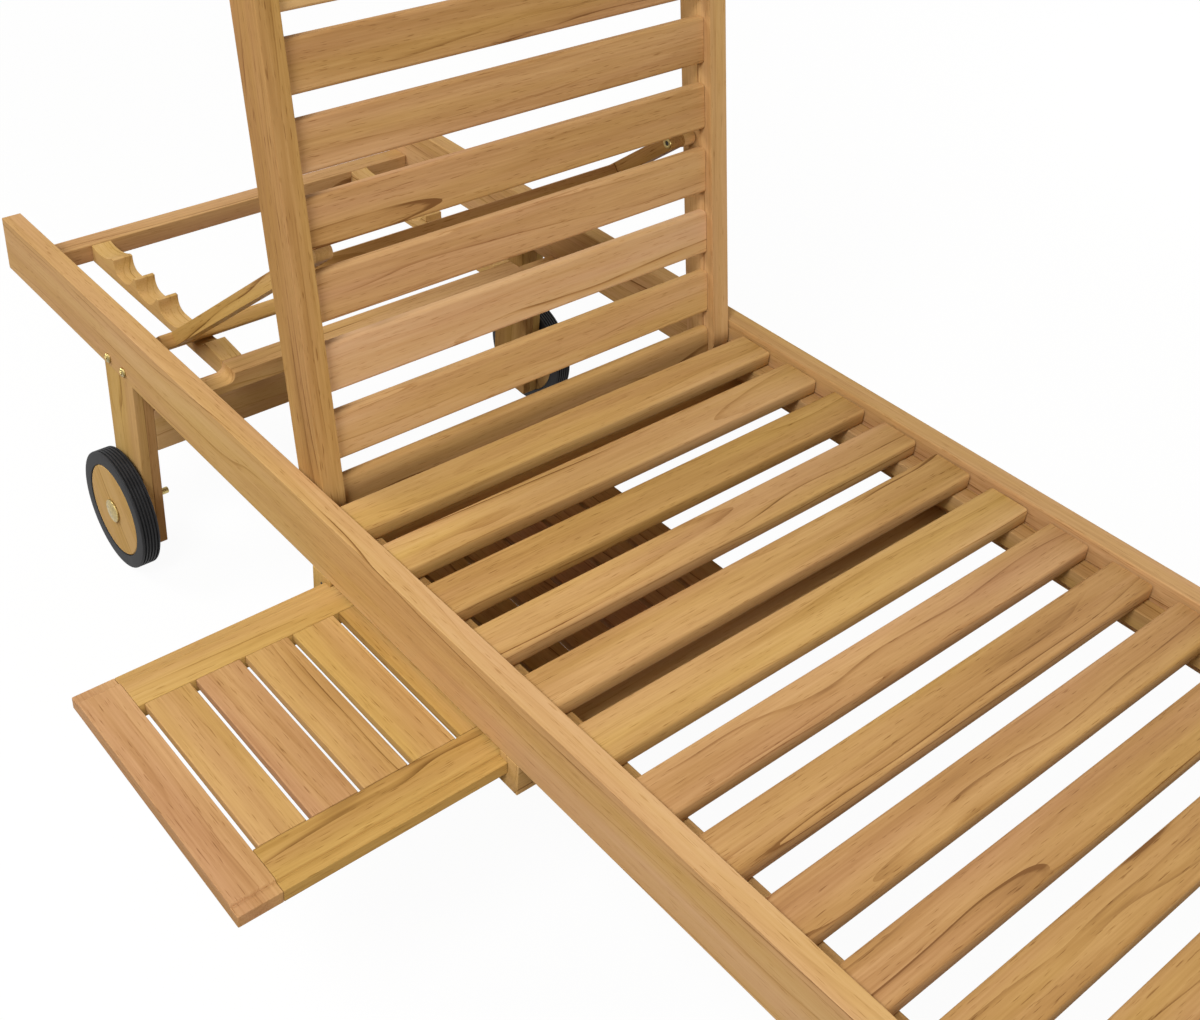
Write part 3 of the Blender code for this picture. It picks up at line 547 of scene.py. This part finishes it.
black_rubber = make_rubber("black_rubber", ground=(0.010, 0.010, 0.011), dusty=(0.024, 0.024, 0.026))
FIT = 0.0003
BEAD_EASE = 0.0008
TREAD_GROOVES = 5
GROOVE_DEPTH = 0.0024
GROOVE_MOUTH = 0.25
GROOVE_FLOOR = 0.20
SHOULDER = 0.0020
DISC_ARRIS = 0.0007
AXLE_R = 0.0045
CAP_LIP = 0.0030
CAP_EASE = 0.0008
CAP_BACK_EASE = 0.0004
WHEEL_GRAIN = math.radians(52)
wheel_along = Vector((0, math.cos(WHEEL_GRAIN), math.sin(WHEEL_GRAIN)))
wheel_across = Vector((0, -math.sin(WHEEL_GRAIN), math.cos(WHEEL_GRAIN)))
for side, outwards in (("near", -1), ("far", 1)):
    body = side + "_wheel"
    low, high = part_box(side + "_tyre")
    disc_low, disc_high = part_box(side + "_wheel_disc")
    hub = (low + high) / 2
    tyre_r = (high.z - low.z) / 2
    disc_r = (disc_high.z - disc_low.z) / 2
    bead = disc_r + FIT
    # Tread from the inner shoulder to the outer one, with square grooves all the way round
    tread = [(low.x + BEAD_EASE, bead), (low.x, bead + BEAD_EASE)]
    tread += bow((low.x + SHOULDER, tyre_r - SHOULDER), SHOULDER, 180, 90, 4)
    pitch = (high.x - low.x - 2 * SHOULDER) / TREAD_GROOVES
    for i in range(TREAD_GROOVES):
        middle = low.x + SHOULDER + pitch * (i + 0.5)
        mouth = GROOVE_MOUTH * pitch
        bottom = GROOVE_FLOOR * pitch
        tread += [(middle - mouth, tyre_r), (middle - bottom, tyre_r - GROOVE_DEPTH),
                  (middle + bottom, tyre_r - GROOVE_DEPTH), (middle + mouth, tyre_r)]
    tread += bow((high.x - SHOULDER, tyre_r - SHOULDER), SHOULDER, 90, 0, 4)
    tread += [(high.x, bead + BEAD_EASE), (high.x - BEAD_EASE, bead)]
    tyre = turned(side + "_wheel_tyre", tread, hub, black_rubber, sides=128)
    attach(tyre, body)
    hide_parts(side + "_tyre")
    board(side + "_wheel_disc", body, wheel_along, wheel_across, tone=0.08, rosy=0.20, arris=DISC_ARRIS,
          heart=(6.3, 0.045, 0.025))
    # Axle and cap, turned in one: the cap is a coin with an eased rim and a slight dome
    axle_low, axle_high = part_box(side + "_axle")
    cap_r = (axle_high.z - axle_low.z) / 2
    cap_back = (disc_high.x if outwards > 0 else disc_low.x) + outwards * FIT
    cap_front = axle_high.x if outwards > 0 else axle_low.x
    stub = axle_low.x if outwards > 0 else axle_high.x
    rise = abs(cap_front - cap_back)
    cap = [(0, 0), (0, AXLE_R - CAP_EASE), (CAP_EASE, AXLE_R), (abs(cap_back - stub), AXLE_R)]
    cap = [(stub + outwards * x, r) for x, r in cap]
    rim = [(0, cap_r - CAP_BACK_EASE), (CAP_BACK_EASE, cap_r)]
    rim += bow((CAP_LIP - CAP_EASE, cap_r - CAP_EASE), CAP_EASE, 90, 0, 3)
    dome = [(CAP_LIP + (rise - CAP_LIP) * share, cap_r * reach)
            for share, reach in ((0.0, 0.90), (0.45, 0.70), (0.80, 0.42), (0.96, 0.18), (1.0, 0.0))]
    cap += [(cap_back + outwards * x, r) for x, r in rim + dome]
    axle = turned(side + "_axle_and_cap", cap, hub, satin_brass, sides=64)
    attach(axle, "frame")
    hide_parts(side + "_axle")

# Backrest
# Two teak stiles, rounded about the hinge and drilled for it, with nine slats and a top rail let in between.
# It stands at 80 degrees in the top notch, so its boards are laid along that slope. The pins are brass.
hinge = Vector(next(j for j in frame["joints"] if j["name"] == "backrest_hinge")["pos_m"])
BACK_SLOPE = math.radians(80)
up_the_back = Vector((0, math.cos(BACK_SLOPE), math.sin(BACK_SLOPE)))
out_of_back = Vector((0, -math.sin(BACK_SLOPE), math.cos(BACK_SLOPE)))
STILE_ARRIS = 0.0020
BACK_SLAT_W = 0.0545
BACK_SLAT_T = 0.015
BACK_ROUND = 0.0040
BACK_PITCH = 0.0788
BACK_FIRST = 0.0392
BACK_DEPTH = 0.0069
board("near_stile", "backrest", up_the_back, out_of_back, tone=-0.25, rosy=0.50, arris=STILE_ARRIS)
board("far_stile", "backrest", up_the_back, out_of_back, tone=-0.02, rosy=0.6, arris=STILE_ARRIS)
back_nodes = [name for name in sorted(frame["nodes"]) if name.startswith("back_slat")]
low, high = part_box(back_nodes[1])
first_place = hinge + up_the_back * (BACK_FIRST + BACK_SLAT_W / 2) + out_of_back * BACK_DEPTH
back_slats = set_out("back_slats", slat_row, {
    "Length": high.x - low.x, "Width": BACK_SLAT_W, "Thickness": BACK_SLAT_T, "Round": BACK_ROUND,
    "Pitch": BACK_PITCH, "Count": len(back_nodes) - 1, "Place": first_place, "Turn": (BACK_SLOPE, 0.0, 0.0),
    "Tone Low": (-0.16, 0.55, 0.0), "Tone High": (0.23, 0.80, 0.0), "Seed": 1494, "Wood": oiled_teak})
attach(back_slats, "backrest")
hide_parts(*back_nodes[1:])
board(back_nodes[0], "backrest", CROSSWISE, up_the_back, tone=-0.06, rosy=0.4)
board("back_top_rail", "backrest", CROSSWISE, up_the_back, tone=0.0, rosy=0.5)
for pin in ("near_hinge_pin", "far_hinge_pin", "near_prop_pin", "far_prop_pin"):
    frame["nodes"][pin].material_slots[0].material = satin_brass

# Prop
# A light teak frame hinged behind the backrest: two legs, a tie between them and a bar that drops into the
# racks. Wooden collars on the pivot pins keep the legs off the stiles, and a brass eye shows on each leg;
# the shade in the eye's socket is painted, as a thin dark disc.
COLLAR_R = 0.0098
COLLAR_EASE = 0.0008
COLLAR_BORE = 0.0058
BAR_ARRIS = 0.0008
# Painted shade: a flat, very dark matt material that stands in for the shade inside holes.
dark_socket = make_metal("dark_socket", bright=(0.030, 0.022, 0.014), dull=(0.012, 0.009, 0.006),
                         rough_low=0.7, rough_high=0.9, metallic=0.0)
pivot = Vector(next(j for j in frame["joints"] if j["name"] == "prop_pivot")["pos_m"])
bar_low, bar_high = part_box("prop_bar")
down_the_prop = (bar_low + bar_high) / 2 - pivot
down_the_prop.x = 0
down_the_prop.normalize()
off_the_prop = Vector((0, -down_the_prop.z, down_the_prop.y))
for leg_name, tone in (("near_prop_leg", 0.0), ("far_prop_leg", -0.26)):
    board(leg_name, "prop", down_the_prop, off_the_prop, tone=tone, rosy=0.2)
board("prop_bar", "prop", CROSSWISE, off_the_prop, tone=-0.08, rosy=0.3, arris=BAR_ARRIS)
board("prop_tie", "prop", CROSSWISE, off_the_prop, tone=-0.08, rosy=0.3)
for side in ("near", "far"):
    leg_low, leg_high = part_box(side + "_prop_leg")
    stile_low, stile_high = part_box(side + "_stile")
    if side == "near":
        ends = (stile_high.x + 2 * FIT, leg_low.x - FIT)
        eye_face, eye_out = leg_high.x, 1
    else:
        ends = (leg_high.x + FIT, stile_low.x - 2 * FIT)
        eye_face, eye_out = leg_low.x, -1
    collar_face = COLLAR_R - 0.0006
    collar = turned(side + "_prop_collar",
                    [(ends[0], COLLAR_BORE), (ends[0], collar_face), (ends[0] + COLLAR_EASE, COLLAR_R),
                     (ends[1] - COLLAR_EASE, COLLAR_R), (ends[1], collar_face), (ends[1], COLLAR_BORE)],
                    pivot, oiled_teak, sides=40)
    lay_grain(collar, CROSSWISE, UPRIGHT, -0.02, 0.4)
    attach(collar, "prop")
    # Height over the leg and radius, from the hole of the eye over its round back to its rim
    ring = ((0.0001, 0.0030), (0.0010, 0.0032), (0.0014, 0.0045), (0.0010, 0.0060), (0.0001, 0.0064))
    eye = turned(side + "_prop_eye", [(eye_face + eye_out * x, r) for x, r in ring],
                 pivot, satin_brass, sides=40)
    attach(eye, "prop")
    # Painted shade: the eye's socket is a thin dark disc, not a hole.
    hole = ((0.0001, 0), (0.0001, 0.0031), (0.0004, 0.0031), (0.0003, 0.0016), (0.0003, 0))
    socket = turned(side + "_prop_socket", [(eye_face + eye_out * x, r) for x, r in hole],
                    pivot, dark_socket, sides=24)
    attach(socket, "prop")

# Runners
# Two grooved teak beams across the underside of the rails; the table's tongues slide in their grooves.
# A nail hole in the near end of the one at the head is painted shade: a thin dark disc on the end face.
RUNNER_ARRIS = 0.0008
NAIL_R = 0.0020
NAIL_DOWN = 0.0133
NAIL_IN = 0.0171
for runner in ("head_runner", "foot_runner"):
    board(runner, "frame", CROSSWISE, UPRIGHT, tone=0.0, rosy=0.15, arris=RUNNER_ARRIS)
low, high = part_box("head_runner")
# Painted shade: the nail hole is a thin dark disc standing a little proud of the end, not a hole.
nail = turned("nail_hole",
              [(low.x - x, r) for x, r in
               ((0.0001, 0), (0.0001, NAIL_R * 0.7), (0.0003, NAIL_R), (0.0000, NAIL_R), (0.0, 0))],
              Vector((low.x, low.y + NAIL_IN, high.z - NAIL_DOWN)), dark_socket, sides=20)
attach(nail, "frame")

# Table
# A teak frame of two end boards and two side rails round ten thin slats, flush on top, with a tongue along
# each side. The outer end and the long top edges are rounded over; the slots go right through.
panel_low, panel_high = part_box("table_panel")
rail_low, rail_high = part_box("table_foot_rail")
TONGUE = 0.012
TONGUE_T = 0.0135
SIDE_RAIL = 0.03925
SLOT = 0.0063
SLOT_PITCH = 0.0544
SLAT_T = 0.0098
SLAT_ROUND = 0.0009
ROUND_OVER = 0.0026
BULLNOSE = 0.006
TABLE_ARRIS = 0.0006
SEAM = 0.00015
table_t = panel_high.z - panel_low.z
table_mid = (panel_low.y + panel_high.y) / 2
half_wide = (panel_high.y - panel_low.y) / 2
body_half = half_wide - TONGUE
slot_half = body_half - SIDE_RAIL
end_inner = rail_low.x - FIT
slots = round((rail_high.x - rail_low.x - SLOT) / SLOT_PITCH) + 1
last_slot_end = end_inner + (slots - 1) * SLOT_PITCH + SLOT


def drawn_out(name, outline, low_x, high_x, material):
    """A board of constant section along X, from an outline of (y, z)."""
    bm = bmesh.new()
    first = [bm.verts.new((low_x, y, z)) for y, z in outline]
    last = [bm.verts.new((high_x, y, z)) for y, z in outline]
    bm.faces.new(first)
    bm.faces.new(last)
    for i in range(len(outline)):
        j = (i + 1) % len(outline)
        bm.faces.new((first[i], first[j], last[j], last[i]))
    bmesh.ops.recalc_face_normals(bm, faces=bm.faces)
    return make_piece(name, bm, material)


edge = [(half_wide, 0), (half_wide, TONGUE_T), (body_half, TONGUE_T)]
edge += bow((body_half - ROUND_OVER, table_t - ROUND_OVER), ROUND_OVER, 0, 90, 4)
whole = edge + [(-y, z) for y, z in reversed(edge)]
rail_half = [(slot_half + SEAM, 0)] + edge + [(slot_half + SEAM, table_t)]
table_parts = (
    ("table_outer_end", whole, panel_low.x, end_inner - SEAM, LENGTHWISE, CROSSWISE, -0.07, 0.75),
    ("table_inner_end", whole, last_slot_end + SEAM, panel_high.x, LENGTHWISE, CROSSWISE, 0.0, 0.5),
    ("table_head_side", rail_half, end_inner + SEAM, rail_high.x, CROSSWISE, LENGTHWISE, -0.10, 0.05),
    ("table_foot_side", [(-y, z) for y, z in rail_half], end_inner + SEAM, rail_high.x,
     CROSSWISE, LENGTHWISE, -0.10, 0.0),
)
for name, outline, low_x, high_x, along, across, tone, rosy in table_parts:
    outline = [(table_mid + y, panel_low.z + z) for y, z in outline]
    part = drawn_out(name, outline, low_x, high_x, oiled_teak)
    if name == "table_outer_end":
        weights = part.data.attributes.new("bevel_weight_edge", "FLOAT", "EDGE")
        for place, side in zip(weights.data, part.data.edges):
            ends = [part.data.vertices[i].co for i in side.vertices]
            at_end = all(abs(point.x - low_x) < 0.00001 for point in ends)
            place.value = 1.0 if at_end else 0.0
        bullnose = part.modifiers.new("rounded end", "BEVEL")
        bullnose.width = BULLNOSE
        bullnose.segments = 5
        bullnose.limit_method = "WEIGHT"
    ease(part, TABLE_ARRIS, sharper_than=50)
    lay_grain(part, along, across, tone, rosy)
    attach(part, "table")
    if name == "table_outer_end":
        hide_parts("table_panel")
    if name == "table_head_side":
        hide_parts("table_head_rail")
    if name == "table_foot_side":
        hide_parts("table_foot_rail")
first_slat = Vector((end_inner + SLOT_PITCH / 2 + SLOT / 2, table_mid, panel_high.z - SLAT_T / 2))
table_slats = set_out("table_slats", slat_row, {
    "Length": 2 * slot_half - SEAM, "Width": SLOT_PITCH - SLOT, "Thickness": SLAT_T, "Round": SLAT_ROUND,
    "Pitch": -SLOT_PITCH, "Count": slots - 1, "Place": first_slat, "Turn": (0.0, 0.0, math.pi / 2),
    "Tone Low": (-0.20, -0.05, 0.0), "Tone High": (-0.02, 1.50, 0.0), "Seed": 3317, "Wood": oiled_teak})
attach(table_slats, "table")

# Studio
# A white floor and white surroundings, a soft key lamp above the near side, and weaker ones at the head, at
# the foot and low on the far side. The camera stands where the photograph was taken from.
PHOTO_WIDTH = 1200
FOCAL_PIXELS = 1531.15
CENTRE_PIXEL = (539.40, 392.83)
CENTRE_OF_FRAME = (600, 510)
scene = bpy.context.scene
camera_data = bpy.data.cameras.new("camera")
camera = bpy.data.objects.new("camera", camera_data)
scene.collection.objects.link(camera)
camera.location = (-0.84693, -0.87046, 1.35400)
camera.rotation_euler = [math.radians(a) for a in (56.2373, -2.8198, -39.1038)]
camera_data.sensor_fit = "HORIZONTAL"
camera_data.sensor_width = 36.0
camera_data.lens = FOCAL_PIXELS * 36.0 / PHOTO_WIDTH
camera_data.shift_x = (CENTRE_OF_FRAME[0] - CENTRE_PIXEL[0]) / PHOTO_WIDTH
camera_data.shift_y = (CENTRE_PIXEL[1] - CENTRE_OF_FRAME[1]) / PHOTO_WIDTH
camera_data.clip_start = 0.02
scene.camera = camera
scene.view_settings.view_transform = "Standard"


def soft_lamp(name, place, target, size, power):
    """A large square lamp turned to a point on the object."""
    data = bpy.data.lights.new(name, "AREA")
    data.shape = "SQUARE"
    data.size = size
    data.energy = power
    lamp = bpy.data.objects.new(name, data)
    scene.collection.objects.link(lamp)
    lamp.location = place
    lamp.rotation_euler = (Vector(target) - Vector(place)).to_track_quat("-Z", "Y").to_euler()


soft_lamp("key_lamp", (-2.2, -0.8, 3.1), (0.1, 0.1, 0.3), 1.2, 87)
soft_lamp("head_lamp", (-1.8, 2.2, 2.5), (0.1, 0.3, 0.3), 1.2, 50)
soft_lamp("foot_lamp", (-0.4, -3.2, 1.3), (0.1, 0.0, 0.4), 1.4, 40)
soft_lamp("far_lamp", (3.4, 0.3, 1.0), (0.1, 0.1, 0.4), 1.4, 38)


def seen_by_camera(tree):
    """1 for rays that show the background: straight to the camera, or by way of a shine or a clear piece."""
    rays = node(tree, "ShaderNodeLightPath").outputs
    seen = reckon(tree, "MAXIMUM", rays["Is Camera Ray"], rays["Is Transmission Ray"])
    return reckon(tree, "MAXIMUM", seen, rays["Is Glossy Ray"])


world = bpy.data.worlds.new("surroundings")
scene.world = world
world.use_nodes = True
sky = world.node_tree
sky.nodes.clear()
seen = seen_by_camera(sky)
dim = node(sky, "ShaderNodeBackground", {"Color": (1.0, 0.89, 0.73, 1), "Strength": 0.29})
white = node(sky, "ShaderNodeBackground", {"Color": (1, 1, 1, 1), "Strength": 1.0})
sky_mix = node(sky, "ShaderNodeMixShader", {0: seen, 1: dim.outputs[0], 2: white.outputs[0]})
node(sky, "ShaderNodeOutputWorld", {0: sky_mix.outputs[0]})

FLOOR_REACH = 30.0
FLOOR_GLOW = 0.95
FADE_FROM = 1.5
FADE_TO = 4.0
floor_mesh = bpy.data.meshes.new("floor")
floor_mesh.from_pydata([(-FLOOR_REACH, -FLOOR_REACH, 0), (FLOOR_REACH, -FLOOR_REACH, 0),
                        (FLOOR_REACH, FLOOR_REACH, 0), (-FLOOR_REACH, FLOOR_REACH, 0)], [], [(0, 1, 2, 3)])
floor = bpy.data.objects.new("floor", floor_mesh)
scene.collection.objects.link(floor)
paper = bpy.data.materials.new("white_paper")
paper.use_nodes = True
paper_tree = paper.node_tree
paper_tree.nodes.clear()
seen = seen_by_camera(paper_tree)
grey = node(paper_tree, "ShaderNodeMix", {"Factor": seen}, data_type="RGBA")
grey.inputs[6].default_value = (0.22, 0.18, 0.13, 1)
grey.inputs[7].default_value = (0.92, 0.92, 0.92, 1)
matt = node(paper_tree, "ShaderNodeBsdfDiffuse", {"Color": grey.outputs[2]})
glow = node(paper_tree, "ShaderNodeEmission", {"Color": (1, 1, 1, 1), "Strength": 1.0})
# Away from the object the floor fades into the white of the surroundings
place = node(paper_tree, "ShaderNodeTexCoord").outputs["Object"]
away = distance(paper_tree, place)
fade = remap(paper_tree, away, FADE_FROM, FADE_TO, FLOOR_GLOW, 1.0, shape="SMOOTHSTEP")
share = reckon(paper_tree, "MULTIPLY", seen, fade)
paper_mix = node(paper_tree, "ShaderNodeMixShader", {0: share, 1: matt.outputs[0], 2: glow.outputs[0]})
node(paper_tree, "ShaderNodeOutputMaterial", {0: paper_mix.outputs[0]})
floor_mesh.materials.append(paper)
